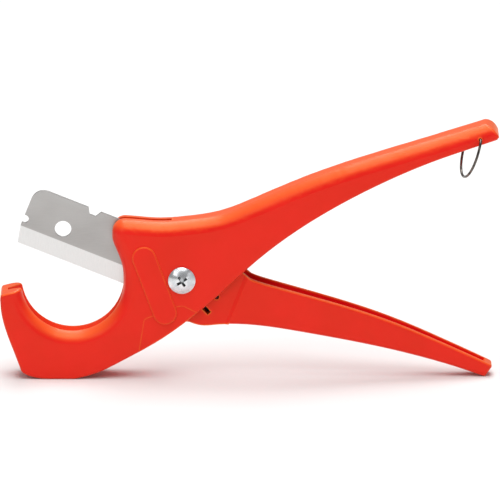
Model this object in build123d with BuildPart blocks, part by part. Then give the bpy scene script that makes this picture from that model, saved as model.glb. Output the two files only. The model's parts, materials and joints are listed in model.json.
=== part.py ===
"""Single-stroke plastic pipe cutter.

Two painted die-cast handles turn about one pivot screw.  The upper casting is
handle, head and hook in one piece; the lower handle carries the blade, which it
swings down through the cradle and into the groove of the hook.

Row frame: +X runs along the tool from the hook to the handle ends, +Y is across
its thickness, +Z is up.  The tool stands on the hook's foot and the tip of the
lower handle.  Outlines are drawn about the pivot, in the plane across Y.
"""
from build123d import *
from math import atan2, cos, degrees, radians, sin, sqrt
import os

os.makedirs("parts", exist_ok=True)

# ---------------------------------------------------------------- driving sizes
PIVOT_X, PIVOT_Z = -28.2, 43.2   # pivot axis in the row frame
FOOT = -PIVOT_Z                  # standing surface, measured from the pivot

BODY_T = 17.0                    # thickness of the upper casting
CAVITY_T = 13.3                  # space between its walls at the hub
CHANNEL_END_T = 12.6             # the same at the far end of the handle
WEB = 2.8                        # rounded back over the handle's channel
BACK_R = 5.3                     # rounding of the back
EDGE_R = 1.0                     # rounding of the other outer edges

CRADLE_X, CRADLE_Z = -46.0, -1.7
CRADLE_R = 21.5                  # takes 42 mm pipe
TIP_ANGLE = 187.2                # where the cradle ends, at the hook's tip

CAVITY_R = 20.2                  # round space for the hub
STOP_X = -4.8                    # wall that the opened hub meets
SLOT_T = 2.8                     # blade slot through the head and the hook
SLOT_R = 73.5                    # outer end of the slot, about the pivot
SLOT_SPARE = 1.2                 # slot below the closed blade's edge
SLOT_TURN = -27.0                # top end of the slot, as a turn of the blade
GROOVE_T = 7.4                   # width of the hook's groove at the cradle
GROOVE_DEPTH = 5.2
GROOVE_MOUTH_SPARE = 0.9         # widening of the groove just above the cradle
GROOVE_FROM, GROOVE_TO = 180.0, 352.0

PAD_ENDS = [(-15.8, 9.5), (-7.1, -14.1)]   # centres of the label pad's ends
PAD_R, PAD_H, PAD_EDGE_R = 5.0, 0.8, 0.5
STEP_DEPTH = 0.25                # shallow step beside the pad, near the lower edge

BLADE_ANGLE = 22.1               # above the horizontal, with the handle at rest
CLOSE_TURN = 35.4                # from rest until the blade is closed
BLADE_T = 1.6
BLADE_SPARE, BLADE_SIDE_PLAY = 0.1, 0.02   # room about the blade in the hub
BLADE_HALF = 12.7                # half of its width
BLADE_OUTER = 70.9               # pivot to the outer end
HOLE_SPACING = 53.8
HOLE_R = 3.5
BEVEL = 7.5                      # height of the ground edge
EDGE_T = 0.06                    # thickness left at the edge
CORNER_SLANT = 1.6
BACK_CORNER_R = 5.5
END_NOTCH_T, END_NOTCH_R, END_NOTCH_DEPTH = -2.0, 1.7, 2.3
BACK_NOTCH = (9.35, 5.7, 2.7, 2.6)   # place along the blade, top, bottom, depth

HUB_R = 18.5
HUB_T = 11.2
GRIP_T, GRIP_TIP_T = 12.4, 9.0   # lower handle beside the hub, and at its tip
GRIP_WALL, GRIP_FLOOR = 1.9, 2.6
GRIP_START, GRIP_BEVEL, GRIP_LENGTH = (21.9, -10.0), 1.6, 113.0
GRIP_EDGE_R, GRIP_LIP_R = 1.4, 0.9   # rounding of the lower edges, and of the top lips
HUB_SLANT = (8.2, 20.0)          # run of the line between hub and grip

SCREW_R, SCREW_PLAY = 2.5, 0.05
SCREW_HEAD_R, SCREW_HEAD_H, SCREW_RIM_H = 5.7, 2.6, 0.7
RECESS_TURN = 33.0               # angle of the screw's slot
DRIVE_SLOT_L, DRIVE_SLOT_W, DRIVE_SLOT_H = 10.4, 1.0, 0.85
CROSS_L, CROSS_W, CROSS_H = 4.8, 1.15, 2.2
SLEEVE_R = 3.45
BOSS_R, BOSS_H = 6.6, 3.6        # round boss about the nut, on the far side
NUT_AF, NUT_H, NUT_PLAY = 8.0, 5.0, 0.08
NUT_FLAT_R, NUT_SLOPE = 3.9, 1.8     # outer face of the nut, and the slope of its chamfer
NUT_SINK = 0.7                   # nut pocket's floor below the wall's outer face
INSERT_H, INSERT_WALL, INSERT_SINK = 1.4, 0.75, 0.15
WASHER_T, WASHER_R = 1.0, 5.0

SPRING_R, WIRE_R = 6.9, 0.7      # coil's mean radius, and its wire
COIL_TURNS, COIL_PITCH = 2.25, 1.48
POCKET_R, POCKET_INNER_R, POCKET_FLOOR = 8.6, 5.2, 1.6
LEG_ANGLE, LEG_BEND_R = -48.4, 1.5   # direction of the leg in the hub's groove, and its bend
LEG_REACH, LEG_GROOVE_T = 19.0, 1.9
END_BEND_R, END_REACH = 1.0, 0.9     # end of the coil turned into the casting's wall
DIMPLE_PLAY, DIMPLE_H = 0.15, 1.1    # the dimple that takes it

PIN_R, PIN_BORE_R, PIN_SLIT, PIN_HALF_L = 1.6, 0.95, 0.5, 4.2
KNOCKOUT_R = 1.1

RING_WIRE_R, RING_HOLE_R = 0.55, 0.65
RING_R, RING_BEND_R, RING_BEND_AT, RING_END_AT = 11.9, 1.6, 8.8, 6.0
RING_AXIS_X, RING_AXIS_Z = 123.3, 61.2
RING_SKEW = (-2.75, 16.0, 0.85)  # from the near hole to the far hole
RING_LEAN = 17.0                 # hang of the ring at rest, away from straight down


def side(y=0.0):
    """Plane across Y through the pivot: local x is +X and local y is +Z."""
    return Plane(origin=(PIVOT_X, y, PIVOT_Z), x_dir=(1, 0, 0), z_dir=(0, -1, 0))


def turned(radius, angle):
    """Point on a circle about the pivot."""
    return (radius * cos(radians(angle)), radius * sin(radians(angle)))


def along_leg(distance):
    """Side-plane point on the spring leg that lies in the hub's groove."""
    x, z = turned(distance, LEG_ANGLE)
    dx, dz = turned(LEG_BEND_R, LEG_ANGLE - 90)
    return (x + dx, z + dz)


def blade_point(s, t, turn=0.0):
    """Side-plane point at s along the blade and t above its centre line."""
    a = radians(BLADE_ANGLE - turn)
    return (-s * cos(a) + t * sin(a), s * sin(a) + t * cos(a))


def finish(builder, name):
    """Label one finished piece and write it."""
    builder.part.label = name
    export_step(builder.part, f"parts/{name}.step")


# ------------------------------------------------------------- frame casting
HEAD_TOP = (-23.7, 25.1)
HANDLE_TOP, HANDLE_CORNER, HANDLE_HEEL = (126.6, 66.6), (132.6, 61.6), (131.8, 60.5)
FOOT_BACK, FOOT_FRONT = (-45.5, FOOT), (-56.5, FOOT)
TOE, HOOK_LEFT, TIP_OUTER = (-67.9, -39.1), (-76.3, -9.0), (-75.2, -6.4)
HEAD_FRONT = [(-24.5, CRADLE_Z), (-24.7, 3.4), (-26.4, 9.6), (-28.8, 15.6), (-29.1, 19.7)]
TOP_EDGE = [
    HEAD_TOP, (-10, 24.1), (3.4, 25.0), (16, 27.2), (28.6, 32.0),
    (45.4, 39.4), (70.6, 48.9), (99, 57.9), HANDLE_TOP,
]
LOWER_EDGE = [
    HANDLE_HEEL, (108.4, 52.3), (83.2, 41.4), (62.2, 30.1), (45.4, 19.2),
    (28.6, 5.7), (15.1, -7.0), (2.5, -17.7), (-9.2, -26.2), (-26, -35.8), FOOT_BACK,
]
STEP_EDGE = [
    (-18.4, -40), (-18.0, -31.5), (-15.7, -17.4), (-14.9, -16.7), (-1.8, -11.6), (-0.3, -11.3),
    (0.9, -11.5), (9.0, -15.6), (9.0, -40),
]
CEILING = [
    (0, CAVITY_R), (14, 22.6), (28.6, 28.4), (45.4, 39.0 - WEB),
    (70.6, 48.7 - WEB), (99, 57.9 - WEB), (128.2, 66.9 - WEB),
]

# Space between the walls: round about the hub, then the handle's open channel.
with BuildPart() as cavity:
    with BuildSketch(side()):
        with BuildLine():
            low = (STOP_X, -sqrt(CAVITY_R**2 - STOP_X**2))
            ThreePointArc(low, (-CAVITY_R, 0), CEILING[0])
            Spline(*CEILING, tangents=[(1, 0), (0.95, 0.3)])
            Polyline(CEILING[-1], (130.0, 50), (60, 5), (20, -40), (STOP_X, -40), low)
        make_face()
    extrude(amount=CAVITY_T / 2, both=True)
    with BuildSketch(Plane.XY):
        with BuildLine():
            near = [(-60, -CAVITY_T / 2), (40, -CAVITY_T / 2), (105, -CHANNEL_END_T / 2)]
            far = [(x, -y) for x, y in reversed(near)]
            Polyline(*near, *far, close=True)
        make_face()
    extrude(amount=140, mode=Mode.INTERSECT)
    ceiling_edges = cavity.edges().filter_by(
        lambda e: e.center().Z > PIVOT_Z + 18 and e.length > 15
    )
    fillet(ceiling_edges, radius=3.0)

# Slot that the blade swings in, from above its open position to the hook's groove.
with BuildPart() as blade_slot:
    with BuildSketch(side()):
        with BuildLine():
            shut_t = -BLADE_HALF - SLOT_SPARE
            shut_far = blade_point(sqrt(SLOT_R**2 - shut_t**2), shut_t, CLOSE_TURN)
            above = turned(SLOT_R, 168)
            Polyline(
                above, blade_point(30, BLADE_HALF, SLOT_TURN),
                blade_point(12, BLADE_HALF, SLOT_TURN),
                blade_point(10, shut_t, CLOSE_TURN), shut_far,
            )
            ThreePointArc(shut_far, turned(SLOT_R, 187), above)
        make_face()
    extrude(amount=SLOT_T / 2, both=True)

# Tapered groove along the cradle, turned about the cradle's own axis.
cradle_centre = (PIVOT_X + CRADLE_X, 0, PIVOT_Z + CRADLE_Z)
with BuildPart() as cradle_groove:
    start = radians(GROOVE_FROM)
    section_plane = Plane(
        origin=cradle_centre, x_dir=(cos(start), 0, sin(start)),
        z_dir=(sin(start), 0, -cos(start)),
    )
    with BuildSketch(section_plane):
        with BuildLine():
            upper = [
                (CRADLE_R - 2, GROOVE_T / 2 + GROOVE_MOUTH_SPARE), (CRADLE_R, GROOVE_T / 2),
                (CRADLE_R + GROOVE_DEPTH, SLOT_T / 2),
            ]
            lower = [(r, -y) for r, y in reversed(upper)]
            Polyline(*upper, *lower, close=True)
        make_face()
    revolve(axis=Axis(cradle_centre, (0, -1, 0)), revolution_arc=GROOVE_TO - GROOVE_FROM)


ring_axis = Vector(RING_SKEW).normalized()
ring_centre = Vector(PIVOT_X + RING_AXIS_X, 0, PIVOT_Z + RING_AXIS_Z)


def on_rim(edge):
    """Whether an edge lies in one of the casting's two side faces."""
    box = edge.bounding_box()
    return abs(abs(box.min.Y + box.max.Y) - BODY_T) < 0.001 and box.size.Y < 0.001


def is_back(edge):
    """Whether a rim edge runs along the nose or the rounded back."""
    box = edge.bounding_box()
    return box.min.Z > PIVOT_Z + 19 and box.max.X < PIVOT_X + HANDLE_TOP[0] + 0.5


def is_crease(edge):
    """Whether a rim edge is where the rounded back meets the side."""
    return edge.length > 100 and edge.center().Z > PIVOT_Z + 25


with BuildPart() as frame_casting:
    with BuildSketch(side()):
        with BuildLine():
            CenterArc((CRADLE_X, CRADLE_Z), CRADLE_R, TIP_ANGLE, 360 - TIP_ANGLE)
            Spline(*HEAD_FRONT, tangents=[(0, 1), (0.05, 1)])
            ThreePointArc(HEAD_FRONT[-1], (-27.5, 23.6), HEAD_TOP)
            Spline(*TOP_EDGE, tangents=[(1, -0.05), (0.95, 0.30)])
            ThreePointArc(HANDLE_TOP, (130.3, 64.8), HANDLE_CORNER)
            Line(HANDLE_CORNER, HANDLE_HEEL)
            Spline(*LOWER_EDGE, tangents=[(-0.94, -0.34), (-1, -0.18)])
            Line(FOOT_BACK, FOOT_FRONT)
            Spline(
                FOOT_FRONT, (-62.6, -42.4), (-66.4, -40.9), TOE,
                tangents=[(-1, 0), (-0.33, 0.94)],
            )
            Spline(
                TOE, (-70.6, -31.6), (-73.5, -23.7), (-75.6, -15.9), HOOK_LEFT,
                tangents=[(-0.33, 0.94), (-0.05, 1)],
            )
            Spline(HOOK_LEFT, TIP_OUTER, tangents=[(-0.05, 1), (0.9, 0.3)])
            tip_angle = radians(TIP_ANGLE)
            Line(
                TIP_OUTER,
                (CRADLE_X + CRADLE_R * cos(tip_angle), CRADLE_Z + CRADLE_R * sin(tip_angle)),
            )
        make_face()
    extrude(amount=BODY_T / 2, both=True)
    fillet(frame_casting.edges().filter_by(on_rim).filter_by(is_back), radius=BACK_R)
    rim = frame_casting.edges().filter_by(on_rim)
    fillet(rim.filter_by(lambda e: not is_crease(e)), radius=EDGE_R)
    add(cavity.part, mode=Mode.SUBTRACT)
    add(blade_slot.part, mode=Mode.SUBTRACT)
    add(cradle_groove.part, mode=Mode.SUBTRACT)
    # shallow step in the near side
    with BuildSketch(side(-BODY_T / 2 + STEP_DEPTH)):
        with BuildLine():
            Polyline(*STEP_EDGE, close=True)
        make_face()
    extrude(amount=BODY_T, mode=Mode.SUBTRACT)
    # label pad, raised on the near side
    with BuildSketch(side(-BODY_T / 2 + 0.5)):
        for end in PAD_ENDS:
            with Locations(end):
                Circle(PAD_R)
        make_hull()
    extrude(amount=PAD_H + 0.5)
    pad_rim = frame_casting.faces().sort_by(Axis.Y)[0].edges()
    fillet(pad_rim, radius=PAD_EDGE_R)
    # nut boss on the far side, with its hexagonal pocket
    with BuildSketch(side(BODY_T / 2 + BOSS_H)):
        Circle(BOSS_R)
    extrude(amount=BOSS_H + 0.5)
    boss_rim = frame_casting.faces().sort_by(Axis.Y)[-1].edges()
    fillet(boss_rim, radius=0.8)
    with BuildSketch(side(BODY_T / 2 + BOSS_H)):
        RegularPolygon(NUT_AF / 2 + NUT_PLAY, 6, major_radius=False)
    extrude(amount=BOSS_H + NUT_SINK, mode=Mode.SUBTRACT)
    # screw holes through both walls, and the dimple for the spring's end
    with BuildSketch(side()):
        Circle(SCREW_R + SCREW_PLAY)
    extrude(amount=BODY_T, both=True, mode=Mode.SUBTRACT)
    with BuildSketch(side(-CAVITY_T / 2 + 0.5)):
        end_angle = LEG_ANGLE + 360 * COIL_TURNS
        coil_x, coil_z = turned(SPRING_R, end_angle)
        step_x, step_z = turned(END_BEND_R, end_angle + 90)
        with Locations((coil_x + step_x, coil_z + step_z)):
            Circle(WIRE_R + DIMPLE_PLAY)
    extrude(amount=0.5 + DIMPLE_H, mode=Mode.SUBTRACT)
    # holes for the wire ring
    with BuildSketch(Plane(origin=ring_centre, z_dir=ring_axis)):
        Circle(RING_HOLE_R)
    extrude(amount=12, both=True, mode=Mode.SUBTRACT)
finish(frame_casting, "frame_casting")


# -------------------------------------------------------------- lower handle
HUB_BOTTOM = [(3.2, -18.9), (7.6, -20.3), (18.1, -19.9)]
GRIP_BOTTOM = [
    HUB_BOTTOM[-1], (28.6, -20.3), (49.6, -23.4), (74.8, -28.3), (100, -34.4), (117, -39.6),
    (126.5, -43.0),
]
GRIP_TIP = [GRIP_BOTTOM[-1], (127.6, FOOT), (130.9, -38.6)]
GRIP_TOP = [
    GRIP_TIP[-1], (112.6, -29.9), (87.4, -18.9), (62.2, -10.4), (37, -3.1), (28.6, -0.1),
]
GRIP_INSIDE = [
    (27.5, -15.0), (49.6, -23.3 + GRIP_FLOOR), (74.8, -28.2 + GRIP_FLOOR),
    (100, -34.3 + GRIP_FLOOR), (125.0, -40.4),
]
crown = turned(HUB_R, 52)
grip_axis = Vector(HUB_SLANT[1], 0, -HUB_SLANT[0]).normalized()
grip_up = Vector(HUB_SLANT[0], 0, HUB_SLANT[1]).normalized()
plan = Plane(
    origin=(PIVOT_X + GRIP_START[0], 0, PIVOT_Z + GRIP_START[1]), x_dir=grip_axis, z_dir=grip_up
)
grip_taper = (GRIP_T - GRIP_TIP_T) / 2 / (GRIP_LENGTH - GRIP_BEVEL)


def mirrored(near):
    """Closed outline of points on the near side and their mirror images."""
    return near + [(x, -y) for x, y in reversed(near)]


# Open channel of the grip, tapering with it.
with BuildPart() as grip_channel:
    with BuildSketch(side()):
        with BuildLine():
            Spline(*GRIP_INSIDE, tangents=[(0.6, -0.8), (0.94, -0.2)])
            Polyline(
                GRIP_INSIDE[-1], (128.2, -36), (128.2, 20), (25, 20), (25.5, -9), GRIP_INSIDE[0]
            )
        make_face()
    extrude(amount=GRIP_T / 2, both=True)
    with BuildSketch(plan):
        with BuildLine():
            wide = GRIP_T / 2 - GRIP_WALL
            Polyline(
                *mirrored([
                    (-10, -wide), (0, -wide), (GRIP_LENGTH, -wide + GRIP_LENGTH * grip_taper),
                ]),
                close=True,
            )
        make_face()
    extrude(amount=80, both=True, mode=Mode.INTERSECT)


def is_top_lip(edge):
    """Whether an edge of the grip runs along the top of one side."""
    return edge.length > 90 and edge.center().Z > PIVOT_Z - 20 and abs(edge.center().Y) > 1


def is_low_rim(edge):
    """Whether an edge of the grip runs along the bottom or the tip of one side."""
    long_one = edge.length > 90 and edge.center().Z < PIVOT_Z - 20
    tip_one = edge.length < 15 and edge.center().X > PIVOT_X + 120
    return abs(edge.center().Y) > 3.5 and (long_one or tip_one)


with BuildPart() as grip:
    with BuildSketch(side()):
        with BuildLine():
            Spline(*GRIP_BOTTOM, tangents=[(1, 0), (0.94, -0.34)])
            Polyline(*GRIP_TIP)
            Spline(*GRIP_TOP, tangents=[(-0.9, 0.45), (-0.9, 0.45)])
            Polyline(GRIP_TOP[-1], crown, GRIP_BOTTOM[0])
        make_face()
    extrude(amount=GRIP_T / 2, both=True)
    with BuildSketch(plan):
        with BuildLine():
            reach = GRIP_LENGTH + 12
            tip_y = GRIP_T / 2 - grip_taper * (reach - GRIP_BEVEL)
            Polyline(*mirrored([(GRIP_BEVEL, -GRIP_T / 2), (reach, -tip_y)]), close=True)
        make_face()
    extrude(amount=80, both=True, mode=Mode.INTERSECT)
    fillet(grip.edges().filter_by(is_low_rim), radius=GRIP_EDGE_R)
    fillet(grip.edges().filter_by(is_top_lip), radius=GRIP_LIP_R)

with BuildPart() as lower_handle:
    with BuildSketch(side()):
        with BuildLine():
            Spline(*HUB_BOTTOM, tangents=[(0.9, -0.42), (1, 0)])
            Polyline(HUB_BOTTOM[-1], (30, -19.9), GRIP_TOP[-1], crown)
            ThreePointArc(crown, turned(HUB_R, 160), turned(HUB_R, 256))
            Line(turned(HUB_R, 256), HUB_BOTTOM[0])
        make_face()
    extrude(amount=GRIP_T / 2, both=True)
    with BuildSketch(plan):
        with BuildLine():
            near = [(-80, -HUB_T / 2), (0, -HUB_T / 2), (GRIP_BEVEL, -GRIP_T / 2)]
            Polyline(*mirrored(near), close=True)
        make_face()
    extrude(amount=80, both=True, mode=Mode.INTERSECT)
    add(grip.part)
    add(grip_channel.part, mode=Mode.SUBTRACT)
    # slot for the blade, open to the front
    with BuildSketch(side()):
        with BuildLine():
            s_in, t_in = HOLE_SPACING - BLADE_OUTER - BLADE_SPARE, BLADE_HALF + BLADE_SPARE
            Polyline(
                blade_point(s_in, -t_in), blade_point(s_in, t_in),
                blade_point(40, t_in), blade_point(40, -t_in), close=True,
            )
        make_face()
    extrude(amount=BLADE_T / 2 + BLADE_SIDE_PLAY, both=True, mode=Mode.SUBTRACT)
    # pivot bore
    with BuildSketch(side()):
        Circle(HOLE_R)
    extrude(amount=HUB_T, both=True, mode=Mode.SUBTRACT)
    # spring pocket and the groove for its leg, in the near face
    with BuildSketch(side(-POCKET_FLOOR)):
        Circle(POCKET_R)
        Circle(POCKET_INNER_R, mode=Mode.SUBTRACT)
        with Locations(along_leg((POCKET_R + LEG_REACH) / 2 - 1)):
            Rectangle(LEG_REACH - POCKET_R + 2, LEG_GROOVE_T, rotation=LEG_ANGLE)
    extrude(amount=HUB_T, mode=Mode.SUBTRACT)
    # drive pin's bore from the far side, and its knock-out hole
    pin_at = blade_point(HOLE_SPACING - BLADE_OUTER + END_NOTCH_DEPTH - END_NOTCH_R, END_NOTCH_T)
    with BuildSketch(side(-PIN_HALF_L)):
        with Locations(pin_at):
            Circle(PIN_R)
    extrude(amount=-HUB_T, mode=Mode.SUBTRACT)
    with BuildSketch(side()):
        with Locations(pin_at):
            Circle(KNOCKOUT_R)
    extrude(amount=HUB_T, mode=Mode.SUBTRACT)
finish(lower_handle, "lower_handle")


# --------------------------------------------------------------------- blade
def blade_plane(y=0.0):
    """Plane of the blade at rest: local x toward its outer end, local y to its back."""
    a = radians(BLADE_ANGLE)
    return Plane(origin=(PIVOT_X, y, PIVOT_Z), x_dir=(-cos(a), 0, sin(a)), z_dir=(0, 1, 0))


blade_middle = HOLE_SPACING / 2
half_length = BLADE_OUTER - blade_middle

with BuildPart() as cutting_blade:
    with BuildSketch(blade_plane()):
        with BuildLine():
            right = [
                (0, BLADE_HALF), (half_length, BLADE_HALF), (half_length, -BLADE_HALF + BEVEL),
                (half_length - CORNER_SLANT, -BLADE_HALF), (0, -BLADE_HALF),
            ]
            left = [(-x, y) for x, y in reversed(right[1:-1])]
            outline = [(blade_middle + x, y) for x, y in right + left]
            Polyline(*outline, close=True)
        make_face()
        corners = vertices().group_by(Axis.Y)[-1].sort_by(Axis.X)
        fillet([corners[0], corners[-1]], radius=BACK_CORNER_R)
        for mirror_x in (-1, 1):
            with Locations((blade_middle + mirror_x * HOLE_SPACING / 2, 0)):
                Circle(HOLE_R, mode=Mode.SUBTRACT)
            notch_x = blade_middle + mirror_x * (half_length - END_NOTCH_DEPTH + END_NOTCH_R)
            with Locations((notch_x, END_NOTCH_T)):
                Circle(END_NOTCH_R, mode=Mode.SUBTRACT)
            with Locations((notch_x + mirror_x * END_NOTCH_R, END_NOTCH_T)):
                Rectangle(2 * END_NOTCH_R, 2 * END_NOTCH_R, mode=Mode.SUBTRACT)
        for place in (BACK_NOTCH[0], HOLE_SPACING - BACK_NOTCH[0]):
            _, top_w, bottom_w, depth = BACK_NOTCH
            with BuildLine():
                Polyline(
                    (place - top_w / 2, BLADE_HALF), (place - bottom_w / 2, BLADE_HALF - depth),
                    (place + bottom_w / 2, BLADE_HALF - depth), (place + top_w / 2, BLADE_HALF),
                    (place + top_w / 2, BLADE_HALF + 1), (place - top_w / 2, BLADE_HALF + 1),
                    close=True,
                )
            make_face(mode=Mode.SUBTRACT)
    extrude(amount=BLADE_T / 2, both=True)
    # the ground edge: a wedge cut from each face
    a = radians(BLADE_ANGLE)
    grind_start = blade_point(BLADE_OUTER + 5, 0)
    grind_plane = Plane(
        origin=(PIVOT_X + grind_start[0], 0, PIVOT_Z + grind_start[1]),
        x_dir=(0, 1, 0), z_dir=(cos(a), 0, -sin(a)),
    )
    for face_side in (-1, 1):
        with BuildSketch(grind_plane):
            with BuildLine():
                Polyline(
                    (face_side * BLADE_T / 2, BEVEL - BLADE_HALF),
                    (face_side * EDGE_T / 2, -BLADE_HALF),
                    (face_side * EDGE_T / 2, -BLADE_HALF - 1),
                    (face_side * BLADE_T, -BLADE_HALF - 1),
                    (face_side * BLADE_T, BEVEL - BLADE_HALF),
                    close=True,
                )
            make_face()
        extrude(amount=2 * BLADE_OUTER, mode=Mode.SUBTRACT)
finish(cutting_blade, "cutting_blade")


# ---------------------------------------------------------------- pivot parts
SHANK_END = BODY_T / 2 + BOSS_H + 0.9
NUT_INNER = BODY_T / 2 - NUT_SINK
NUT_OUTER = NUT_INNER + NUT_H
pivot_axis = Axis((PIVOT_X, 0, PIVOT_Z), (0, 1, 0))
half_section = Plane(origin=(PIVOT_X, 0, PIVOT_Z), x_dir=(1, 0, 0), z_dir=(0, 0, 1))

with BuildPart() as pivot_screw:
    head_face = BODY_T / 2
    with BuildSketch(half_section):
        with BuildLine():
            top = -head_face - SCREW_HEAD_H
            Polyline(
                (0, top), (0, SHANK_END), (SCREW_R - 0.5, SHANK_END), (SCREW_R, SHANK_END - 0.5),
                (SCREW_R, -head_face), (SCREW_HEAD_R, -head_face),
                (SCREW_HEAD_R, -head_face - SCREW_RIM_H),
            )
            rise = SCREW_HEAD_H - SCREW_RIM_H
            dome_r = (SCREW_HEAD_R**2 + rise**2) / (2 * rise)
            half_out = SCREW_HEAD_R / 2
            ThreePointArc(
                (SCREW_HEAD_R, top + rise),
                (half_out, top + dome_r - sqrt(dome_r**2 - half_out**2)), (0, top),
            )
        make_face()
    revolve(axis=pivot_axis)
    # cross recess with a longer shallow slot along one arm
    into_head = Plane(origin=(PIVOT_X, top, PIVOT_Z), x_dir=(1, 0, 0), z_dir=(0, 1, 0))
    with BuildSketch(into_head):
        Rectangle(DRIVE_SLOT_L, DRIVE_SLOT_W, rotation=-RECESS_TURN)
    extrude(amount=DRIVE_SLOT_H, mode=Mode.SUBTRACT)
    with BuildSketch(into_head):
        Rectangle(CROSS_L, CROSS_W, rotation=-RECESS_TURN)
        Rectangle(CROSS_L, CROSS_W, rotation=90 - RECESS_TURN)
    extrude(amount=CROSS_H, mode=Mode.SUBTRACT)
finish(pivot_screw, "pivot_screw")


def tube(builder_y, length, outer, inner):
    """Straight tube about the pivot, from builder_y toward -Y."""
    with BuildPart() as piece:
        with BuildSketch(side(builder_y)):
            Circle(outer)
            Circle(inner, mode=Mode.SUBTRACT)
        extrude(amount=length)
    return piece


pivot_sleeve = tube(CAVITY_T / 2, CAVITY_T, SLEEVE_R, SCREW_R + SCREW_PLAY)
finish(pivot_sleeve, "pivot_sleeve")

thrust_washer_near = tube(-HUB_T / 2, WASHER_T, WASHER_R, HOLE_R)
finish(thrust_washer_near, "thrust_washer_near")

thrust_washer_far = tube(HUB_T / 2 + WASHER_T, WASHER_T, WASHER_R + 3, HOLE_R)
finish(thrust_washer_far, "thrust_washer_far")

with BuildPart() as pivot_lock_nut:
    with BuildSketch(side(NUT_OUTER)):
        RegularPolygon(NUT_AF / 2, 6, major_radius=False)
    extrude(amount=NUT_H)
    with BuildSketch(half_section):
        with BuildLine():
            Polyline(
                (0, NUT_INNER), (NUT_AF, NUT_INNER),
                (NUT_AF, NUT_OUTER - (NUT_AF - NUT_FLAT_R) / NUT_SLOPE),
                (NUT_FLAT_R, NUT_OUTER), (0, NUT_OUTER), close=True,
            )
        make_face()
    revolve(axis=pivot_axis, mode=Mode.INTERSECT)
    with BuildSketch(side(NUT_OUTER)):
        Circle(SCREW_R + INSERT_WALL)
    extrude(amount=INSERT_H, mode=Mode.SUBTRACT)
    with BuildSketch(side(NUT_OUTER)):
        Circle(SCREW_R)
    extrude(amount=NUT_H, mode=Mode.SUBTRACT)
finish(pivot_lock_nut, "pivot_lock_nut")

nut_nylon_insert = tube(
    NUT_OUTER - INSERT_SINK, INSERT_H - INSERT_SINK, SCREW_R + INSERT_WALL, SCREW_R
)
finish(nut_nylon_insert, "nut_nylon_insert")

with BuildPart() as blade_drive_pin:
    with BuildSketch(side(PIN_HALF_L)):
        with Locations(pin_at):
            Circle(PIN_R)
            Circle(PIN_BORE_R, mode=Mode.SUBTRACT)
        with Locations((pin_at[0] + PIN_R, pin_at[1])):
            Rectangle(2 * PIN_R, PIN_SLIT, mode=Mode.SUBTRACT)
    extrude(amount=2 * PIN_HALF_L)
finish(blade_drive_pin, "blade_drive_pin")


# --------------------------------------------------------------- return spring
COIL_INNER_Y = -POCKET_FLOOR - WIRE_R - 0.05


with BuildPart() as return_spring:
    coil_centre = (PIVOT_X, COIL_INNER_Y, PIVOT_Z)
    with BuildLine() as coil_path:
        Helix(
            pitch=COIL_PITCH, height=COIL_TURNS * COIL_PITCH, radius=SPRING_R,
            center=coil_centre, direction=(0, -1, 0),
        )
    # the helix starts below its axis, and the coil at its leg
    coil = coil_path.edge().rotate(Axis(coil_centre, (0, -1, 0)), LEG_ANGLE + 90)
    with BuildSketch(Plane(origin=coil @ 0, z_dir=coil % 0)):
        Circle(WIRE_R)
    sweep(path=coil, is_frenet=True)
    # leg in the hub's groove
    with BuildLine(side(COIL_INNER_Y)) as leg_path:
        bend_centre = turned(SPRING_R + LEG_BEND_R, LEG_ANGLE)
        CenterArc(bend_centre, LEG_BEND_R, LEG_ANGLE + 180, 90)
        Line(along_leg(SPRING_R + LEG_BEND_R), along_leg(LEG_REACH - 0.4))
    # end turned across into the casting's near wall
    end_plane = Plane(
        origin=coil @ 1, x_dir=coil % 1, z_dir=(coil % 1).cross(Vector(0, -1, 0))
    )
    with BuildLine(end_plane) as end_path:
        JernArc((0, 0), (1, 0), END_BEND_R, 90)
        Line((END_BEND_R, END_BEND_R), (END_BEND_R, END_BEND_R + END_REACH))
    for stretch in leg_path.edges() + end_path.edges():
        with BuildSketch(Plane(origin=stretch @ 0, z_dir=stretch % 0)):
            Circle(WIRE_R)
        sweep(path=stretch)
finish(return_spring, "return_spring")


# ------------------------------------------------------------------- wire ring
down = Vector(0, 0, -1)
hang = (down - ring_axis * ring_axis.dot(down)).normalized()
lean = hang.rotate(Axis((0, 0, 0), ring_axis), RING_LEAN)
ring_plane = Plane(origin=ring_centre, x_dir=ring_axis, z_dir=ring_axis.cross(lean))
loop_y = RING_BEND_R + sqrt((RING_R - RING_BEND_R) ** 2 - RING_BEND_AT**2)
loop_start = degrees(atan2(loop_y - RING_BEND_R, RING_BEND_AT))

with BuildPart() as latch_ring:
    with BuildLine(ring_plane) as ring_path:
        CenterArc((0, loop_y), RING_R, -loop_start, 180 + 2 * loop_start)
        CenterArc((RING_BEND_AT, RING_BEND_R), RING_BEND_R, 270, 90 - loop_start)
        CenterArc((-RING_BEND_AT, RING_BEND_R), RING_BEND_R, 180 + loop_start, 90 - loop_start)
        Line((RING_END_AT, 0), (RING_BEND_AT, 0))
        Line((-RING_BEND_AT, 0), (-RING_END_AT, 0))
    for stretch in ring_path.edges():
        with BuildSketch(Plane(origin=stretch @ 0, z_dir=stretch % 0)):
            Circle(RING_WIRE_R)
        sweep(path=stretch)
finish(latch_ring, "latch_ring")
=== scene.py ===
"""Looks of the single-stroke plastic pipe cutter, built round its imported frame.

Metres, in the frame's own axes: +X runs from the hook to the handle ends, +Z is up.
"""
import json
from math import cos, pi, radians, sin

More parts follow.
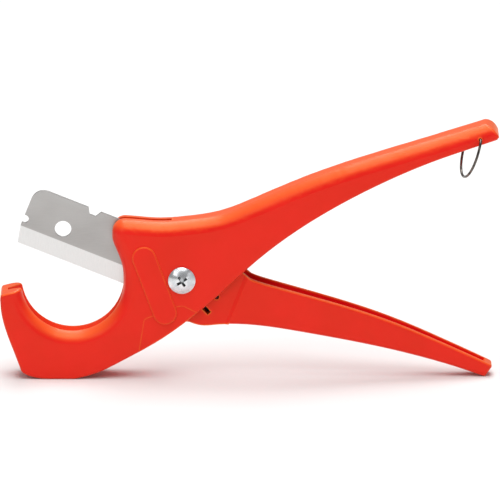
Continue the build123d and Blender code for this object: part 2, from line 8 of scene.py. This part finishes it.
import bpy
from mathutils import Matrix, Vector


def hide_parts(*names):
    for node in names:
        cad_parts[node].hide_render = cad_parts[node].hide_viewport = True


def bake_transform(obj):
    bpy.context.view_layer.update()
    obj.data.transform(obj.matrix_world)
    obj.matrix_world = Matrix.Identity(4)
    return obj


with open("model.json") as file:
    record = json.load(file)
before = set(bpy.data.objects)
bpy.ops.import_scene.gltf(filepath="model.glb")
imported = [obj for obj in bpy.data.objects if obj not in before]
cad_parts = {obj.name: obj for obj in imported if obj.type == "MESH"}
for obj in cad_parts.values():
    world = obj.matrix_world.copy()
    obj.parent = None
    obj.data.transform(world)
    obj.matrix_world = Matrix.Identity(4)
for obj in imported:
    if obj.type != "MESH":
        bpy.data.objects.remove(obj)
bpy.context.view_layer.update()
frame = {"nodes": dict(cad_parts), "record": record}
nodes = frame["nodes"]

# ------------------------------------------------------------------ known places
PIVOT = Vector((-0.0282, 0.0, 0.0432))
BLADE_ANGLE = radians(22.1)         # of the blade at rest, above the horizontal
BLADE_BEVEL_T = -0.0052             # where the ground edge starts, across the blade
BEVEL_BLUR = 0.00006                # half the width of that line

# ------------------------------------------------ how far edge wear, painted edge highlight and painted shade reach
PAINT_EDGE, METAL_EDGE = 0.00072, 0.0003
SHADE_REACH = 0.0022


# --------------------------------------------------------------- shader building
class Shader:
    """One node material, built up node by node."""

    def __init__(self, name):
        self.material = bpy.data.materials.new(name)
        self.material.use_nodes = True
        self.tree = self.material.node_tree
        self.tree.nodes.clear()
        self.out = self.node("ShaderNodeOutputMaterial")
        self.bsdf = self.node("ShaderNodeBsdfPrincipled")
        self.tree.links.new(self.bsdf.outputs["BSDF"], self.out.inputs["Surface"])
        places = self.node("ShaderNodeTexCoord")
        self.coords = places.outputs["Object"]
        self.facing = places.outputs["Normal"]

    def node(self, kind, **settings):
        made = self.tree.nodes.new(kind)
        for key, value in settings.items():
            setattr(made, key, value)
        return made

    def feed(self, socket, value):
        """Link an output into a socket, or set the socket's own value."""
        if isinstance(value, bpy.types.NodeSocket):
            self.tree.links.new(value, socket)
        else:
            socket.default_value = value

    def set(self, **values):
        """Set the surface shader's sockets, whose spaces are written as _."""
        for key, value in values.items():
            self.feed(self.bsdf.inputs[key.replace("_", " ")], value)

    def math(self, operation, a, b):
        made = self.node("ShaderNodeMath", operation=operation)
        self.feed(made.inputs[0], a)
        self.feed(made.inputs[1], b)
        return made.outputs[0]

    def vector(self, operation, a, b):
        made = self.node("ShaderNodeVectorMath", operation=operation)
        self.feed(made.inputs[0], a)
        self.feed(made.inputs[1], b)
        return made.outputs["Value" if operation == "DOT_PRODUCT" else "Vector"]

    def ramp(self, value, low, high, to_low=0.0, to_high=1.0, smooth=True):
        made = self.node("ShaderNodeMapRange", clamp=True)
        made.interpolation_type = "SMOOTHSTEP" if smooth else "LINEAR"
        self.feed(made.inputs["Value"], value)
        self.feed(made.inputs["From Min"], low)
        self.feed(made.inputs["From Max"], high)
        self.feed(made.inputs["To Min"], to_low)
        self.feed(made.inputs["To Max"], to_high)
        return made.outputs["Result"]

    def noise(self, scale, detail, roughness, coords=None):
        made = self.node("ShaderNodeTexNoise")
        self.feed(made.inputs["Vector"], coords or self.coords)
        self.feed(made.inputs["Scale"], scale)
        self.feed(made.inputs["Detail"], detail)
        self.feed(made.inputs["Roughness"], roughness)
        return made.outputs["Fac"]

    def stretched(self, rotation, scale):
        """Object coordinates turned and scaled, for lines and grain."""
        made = self.node("ShaderNodeMapping", vector_type="POINT")
        self.feed(made.inputs["Vector"], self.coords)
        self.feed(made.inputs["Rotation"], rotation)
        self.feed(made.inputs["Scale"], scale)
        return made.outputs["Vector"]

    def mix(self, factor, a, b):
        made = self.node("ShaderNodeMix", data_type="RGBA")
        self.feed(made.inputs[0], factor)
        self.feed(made.inputs[6], a)
        self.feed(made.inputs[7], b)
        return made.outputs[2]

    def edges(self, width, low, high):
        """1 on outer edges and small roundings, 0 on flat and inner faces."""
        inner = self.node("ShaderNodeAmbientOcclusion", samples=10, inside=True, only_local=True)
        self.feed(inner.inputs["Distance"], width)
        return self.ramp(self.math("SUBTRACT", 1.0, inner.outputs["AO"]), low, high)

    def recesses(self, width, low, high):
        """1 deep in slots and corners, 0 on open faces."""
        outer = self.node("ShaderNodeAmbientOcclusion", samples=10)
        self.feed(outer.inputs["Distance"], width)
        return self.ramp(self.math("SUBTRACT", 1.0, outer.outputs["AO"]), low, high)

    def bump(self, height, strength, distance, normal=None):
        made = self.node("ShaderNodeBump")
        self.feed(made.inputs["Strength"], strength)
        self.feed(made.inputs["Distance"], distance)
        self.feed(made.inputs["Height"], height)
        if normal is not None:
            self.feed(made.inputs["Normal"], normal)
        return made.outputs["Normal"]


def linear(r, g, b):
    """Linear colour of an sRGB colour given as 0 to 255."""
    def one(v):
        v = v / 255
        return v / 12.92 if v <= 0.04045 else ((v + 0.055) / 1.055) ** 2.4
    return (one(r), one(g), one(b), 1.0)


def paint(name, base, deep, wear_and_highlight, top_highlight):
    """Enamel on a die casting: orange peel; paler on the edges, partly thin paint and partly a
    painted highlight; a painted orange highlight on the upward-facing backs.
    """
    s = Shader(name)
    cloud = s.ramp(s.noise(38.0, 3.0, 0.55), 0.36, 0.66)
    fine = s.ramp(s.noise(420.0, 3.0, 0.6), 0.3, 0.7)
    colour = s.mix(cloud, deep, base)
    # Painted highlight: upward-facing surfaces mix toward orange, standing in for the overhead
    # light's sheen on the rounded backs.
    upward_highlight = s.ramp(s.vector("DOT_PRODUCT", s.facing, (0.0, 0.0, 1.0)), 0.12, 0.75, 0.0, 0.55)
    colour = s.mix(upward_highlight, colour, top_highlight)
    # Edges turn paler: partly paint worn thin on the roundings, partly a painted highlight
    # standing in for their gleam.
    edge = s.edges(PAINT_EDGE, 0.04, 0.30)
    edge_mask_wear_and_highlight = s.math("MULTIPLY", edge, s.ramp(fine, 0.1, 0.9, 0.6, 0.95))
    colour = s.mix(edge_mask_wear_and_highlight, colour, wear_and_highlight)
    specks = s.ramp(s.noise(1500.0, 1.0, 0.5), 0.70, 0.76, 0.0, 0.22)
    colour = s.mix(specks, colour, deep)
    rough = s.ramp(cloud, 0.0, 1.0, 0.33, 0.40)
    rough = s.math("ADD", rough, s.ramp(fine, 0.0, 1.0, -0.02, 0.04))
    peel = s.bump(s.noise(700.0, 2.0, 0.55), 0.05, 0.0003)
    cast = s.bump(s.noise(60.0, 2.0, 0.5), 0.05, 0.002, peel)
    s.set(Base_Color=colour, Roughness=rough, Normal=cast, Metallic=0.0, IOR=1.5,
          Specular_IOR_Level=0.58, Specular_Tint=(1.0, 0.62, 0.2, 1.0),
          Coat_Weight=0.08, Coat_Roughness=0.1,
          Sheen_Weight=0.3, Sheen_Roughness=0.45, Sheen_Tint=(1.0, 0.36, 0.05, 1.0))
    return s.material


def ground_steel(name):
    """Blade steel: lines along its faces, and lines across the ground edge."""
    s = Shader(name)
    local = s.vector("SUBTRACT", s.coords, tuple(PIVOT))
    across = (sin(BLADE_ANGLE), 0.0, cos(BLADE_ANGLE))
    t = s.vector("DOT_PRODUCT", local, across)
    bevel = s.ramp(t, BLADE_BEVEL_T - BEVEL_BLUR, BLADE_BEVEL_T + BEVEL_BLUR, 1.0, 0.0, False)
    turn = (0.0, -BLADE_ANGLE, 0.0)
    lengthwise = s.noise(1.0, 4.0, 0.7, coords=s.stretched(turn, (260.0, 900.0, 3400.0)))
    crosswise = s.noise(1.0, 3.0, 0.6, coords=s.stretched(turn, (4200.0, 900.0, 420.0)))
    bands = s.noise(1.0, 2.0, 0.5, coords=s.stretched(turn, (30.0, 60.0, 45.0)))
    lines = s.node("ShaderNodeMix", data_type="FLOAT")
    s.feed(lines.inputs[0], bevel)
    s.feed(lines.inputs[2], lengthwise)
    s.feed(lines.inputs[3], crosswise)
    lines = lines.outputs[0]
    face = s.mix(s.ramp(bands, 0.3, 0.7), linear(174, 171, 169), linear(192, 190, 188))
    face = s.mix(s.ramp(lines, 0.3, 0.72, 0.0, 0.28), face, linear(202, 200, 198))
    edge = s.mix(s.ramp(lines, 0.3, 0.7), linear(224, 224, 223), linear(230, 230, 229))
    colour = s.mix(bevel, face, edge)
    rough = s.ramp(lines, 0.3, 0.7, 0.36, 0.44)
    normal = s.bump(lines, 0.05, 0.00004)
    s.set(Base_Color=colour, Roughness=rough, Normal=normal, Metallic=1.0)
    return s.material


def plated(name, light, dark, rough=(0.2, 0.32), grain=260.0):
    """Bright plated or drawn steel with a clouded plating, wear on the edges, and painted shade
    in its recesses.
    """
    s = Shader(name)
    cloud = s.ramp(s.noise(grain, 3.0, 0.6), 0.32, 0.68)
    colour = s.mix(cloud, dark, light)
    edge = s.edges(METAL_EDGE, 0.05, 0.4)
    bright = tuple(min(1.0, 1.12 * v) for v in light[:3]) + (1.0,)
    colour = s.mix(s.math("MULTIPLY", edge, 0.6), colour, bright)
    # Painted shade: slots, recesses and contact lines are darkened from ambient occlusion,
    # standing in for the shade that falls there.
    recess_shade = tuple(0.06 * v for v in dark[:3]) + (1.0,)
    colour = s.mix(s.recesses(SHADE_REACH, 0.38, 0.8), colour, recess_shade)
    s.set(Base_Color=colour, Metallic=1.0, Roughness=s.ramp(cloud, 0.0, 1.0, rough[1], rough[0]),
          Normal=s.bump(s.noise(grain * 9, 2.0, 0.5), 0.05, 0.0001))
    return s.material


def nylon(name):
    """Natural nylon: a little translucent, with a moulded bloom."""
    s = Shader(name)
    cloud = s.ramp(s.noise(500.0, 2.0, 0.5), 0.3, 0.7)
    colour = s.mix(cloud, linear(214, 216, 206), linear(233, 234, 226))
    s.set(Base_Color=colour, Roughness=s.ramp(cloud, 0.0, 1.0, 0.45, 0.58), Metallic=0.0,
          Subsurface_Weight=0.15, Subsurface_Scale=0.001,
          Normal=s.bump(s.noise(2500.0, 1.0, 0.5), 0.06, 0.0001))
    return s.material


def pale_floor(name):
    """Matt white studio floor."""
    s = Shader(name)
    cloud = s.ramp(s.noise(3.0, 2.0, 0.5), 0.3, 0.7)
    s.set(Base_Color=s.mix(cloud, (0.77, 0.77, 0.765, 1.0), (0.80, 0.80, 0.795, 1.0)),
          Roughness=0.9, Specular_IOR_Level=0.1)
    return s.material


looks = {
    # Paint colours: base, deep, edge wear with a painted edge highlight, and the painted
    # highlight of the upward faces.
    "body_paint": paint("body_paint_look", linear(235, 10, 26), linear(228, 5, 22),
                        linear(240, 104, 44), linear(238, 104, 40)),
    "blade_steel": ground_steel("blade_steel_look"),
    "bright_zinc": plated("bright_zinc_look", linear(236, 238, 240), linear(205, 209, 213)),
    "nylon": nylon("nylon_look"),
    "bush_steel": plated("bush_steel_look", linear(170, 168, 165), linear(140, 138, 136),
                         (0.28, 0.4)),
    "spring_steel": plated("spring_steel_look", linear(58, 57, 57), linear(34, 34, 35),
                           (0.25, 0.38), 400.0),
    "ring_wire": plated("ring_wire_look", linear(122, 115, 108), linear(70, 66, 63),
                        (0.24, 0.36), 520.0),
}

SLOT_OF = {sub["node"]: sub["material_slot"] for sub in frame["record"]["subparts"]}
for node_name, obj in nodes.items():
    look = looks[SLOT_OF[node_name]]
    for slot in obj.material_slots:
        slot.material = look


def add_mesh(name, points, faces, material, smooth=False):
    mesh = bpy.data.meshes.new(name)
    mesh.from_pydata(points, [], faces)
    mesh.update()
    obj = bpy.data.objects.new(name, mesh)
    bpy.context.scene.collection.objects.link(obj)
    obj.data.materials.append(material)
    for polygon in mesh.polygons:
        polygon.use_smooth = smooth
    return obj


# -------------------------------------------------- the spring
# Its leg lies in the hub's groove and its turned end in the casting's wall; on the
# tool the coil between them twists as the handle turns, but here it is built once, at rest.
SPRING_R, WIRE_R = 0.0069, 0.0007
COIL_TURNS, COIL_PITCH = 2.25, 0.00148
COIL_INNER_Y = -0.00235
LEG_ANGLE, LEG_BEND_R, LEG_END = radians(-48.4), 0.0015, 0.0186
END_BEND_R, END_REACH = 0.001, 0.0009
WIRE_SIDES, TURN_STEPS = 14, 48
BEND_STEPS, END_STEPS = 8, 3


def about_pivot(radius, angle, y):
    """Point at a radius and angle about the pivot, on the plane of that y."""
    return PIVOT + Vector((radius * cos(angle), y, radius * sin(angle)))


def spring_line():
    """Centre line of the spring, from the end of its leg to its turned end."""
    line = []
    out = Vector((cos(LEG_ANGLE), 0.0, sin(LEG_ANGLE)))
    beside = Vector((sin(LEG_ANGLE), 0.0, -cos(LEG_ANGLE)))
    start = about_pivot(SPRING_R, LEG_ANGLE, COIL_INNER_Y)
    bend_centre = start + out * LEG_BEND_R
    reach = LEG_END - SPRING_R - LEG_BEND_R
    for i in range(BEND_STEPS):
        line.append(bend_centre + beside * LEG_BEND_R + out * reach * (1 - i / BEND_STEPS))
    for i in range(BEND_STEPS):
        a = pi / 2 * i / BEND_STEPS
        line.append(bend_centre + beside * LEG_BEND_R * cos(a) - out * LEG_BEND_R * sin(a))
    steps = int(COIL_TURNS * TURN_STEPS)
    for i in range(steps + 1):
        f = COIL_TURNS * i / steps
        line.append(about_pivot(SPRING_R, LEG_ANGLE + 2 * pi * f, COIL_INNER_Y - COIL_PITCH * f))
    last = line[-1]
    onward = (line[-1] - line[-2]).normalized()
    outward = Vector((0.0, -1.0, 0.0))
    outward = (outward - onward * outward.dot(onward)).normalized()
    for i in range(1, BEND_STEPS + 1):
        a = pi / 2 * i / BEND_STEPS
        line.append(last + onward * END_BEND_R * sin(a) + outward * END_BEND_R * (1 - cos(a)))
    for i in range(1, END_STEPS + 1):
        reach = END_BEND_R + END_REACH * i / END_STEPS
        line.append(last + onward * END_BEND_R + outward * reach)
    return line


def wire(name, line, radius, sides, material):
    """Round wire along a line, with slightly rounded cut ends."""
    points, faces = [], []
    normal = Vector((0.0, 1.0, 0.0))
    inset = [(0.0, 0.55), (0.09, 0.9), (0.21, 1.0)]     # of the wire's radius: along, out
    rings = [(line[0], line[1] - line[0], k, r) for k, r in inset]
    rings += [(p, line[i + 1] - line[i - 1], 0.0, 1.0)
              for i, p in enumerate(line) if 0 < i < len(line) - 1]
    rings += [(line[-1], line[-1] - line[-2], -k, r) for k, r in reversed(inset)]
    for centre, tangent, shift, scale in rings:
        tangent = tangent.normalized()
        normal = (normal - tangent * normal.dot(tangent)).normalized()
        other = tangent.cross(normal)
        middle = centre + tangent * shift * radius
        for k in range(sides):
            a = 2 * pi * k / sides
            points.append(middle + (normal * cos(a) + other * sin(a)) * radius * scale)
    count = len(rings)
    for i in range(count - 1):
        for k in range(sides):
            a, b = i * sides + k, i * sides + (k + 1) % sides
            faces.append((a, b, b + sides, a + sides))
    faces.append(tuple(reversed(range(sides))))
    faces.append(tuple((count - 1) * sides + k for k in range(sides)))
    return add_mesh(name, points, faces, material, True)


spring = wire("torsion_spring", spring_line(), WIRE_R, WIRE_SIDES, looks["spring_steel"])
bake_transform(spring)
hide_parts("return_spring")


# -------------------------------------------------------------------- the stage
FLOOR_HALF = 6.0
SKY_STRENGTH = 0.30
CORNERS = [(-1, -1), (1, -1), (1, 1), (-1, 1)]
floor = add_mesh(
    "studio_floor",
    [(FLOOR_HALF * x, FLOOR_HALF * y, 0) for x, y in CORNERS],
    [(0, 1, 2, 3)], pale_floor("studio_floor_look"),
)

world = bpy.data.worlds.new("studio")
world.use_nodes = True
sky = world.node_tree.nodes["Background"]
sky.inputs["Color"].default_value = (1.0, 1.0, 1.0, 1.0)
sky.inputs["Strength"].default_value = SKY_STRENGTH
bpy.context.scene.world = world


def softbox(name, place, aim, width, depth, power):
    """Rectangular soft light at a place, turned toward its aim."""
    lamp = bpy.data.lights.new(name, "AREA")
    lamp.shape = "RECTANGLE"
    lamp.size, lamp.size_y = width, depth
    lamp.energy = power
    obj = bpy.data.objects.new(name, lamp)
    bpy.context.scene.collection.objects.link(obj)
    obj.location = place
    direction = Vector(aim) - Vector(place)
    obj.rotation_euler = direction.to_track_quat("-Z", "Y").to_euler()


MIDDLE = (0.0, 0.0, 0.05)
softbox("overhead_softbox", (0.0, 0.2, 1.15), (0.0, 0.2, 0.0), 0.8, 2.4, 25.0)
softbox("key_softbox", (-0.9, -1.3, 0.9), MIDDLE, 0.7, 0.9, 3.0)
softbox("fill_softbox", (1.2, -1.2, 0.5), MIDDLE, 0.8, 0.8, 1.5)

# ------------------------------------------------------------------- the camera
ELEVATION = radians(15.0)
DISTANCE = 3.2
FIELD = 0.210                       # width of the view at the object
AIM = Vector((0.0004, 0.0, 0.0541))

lens = bpy.data.cameras.new("photo_camera")
lens.sensor_width = 36.0
lens.lens = lens.sensor_width * DISTANCE / FIELD
lens.clip_end = 30.0
camera = bpy.data.objects.new("photo_camera", lens)
bpy.context.scene.collection.objects.link(camera)
camera.location = AIM + DISTANCE * Vector((0.0, -cos(ELEVATION), sin(ELEVATION)))
camera.rotation_euler = (pi / 2 - ELEVATION, 0.0, 0.0)
bpy.context.scene.camera = camera
bpy.context.scene.view_settings.view_transform = "Standard"
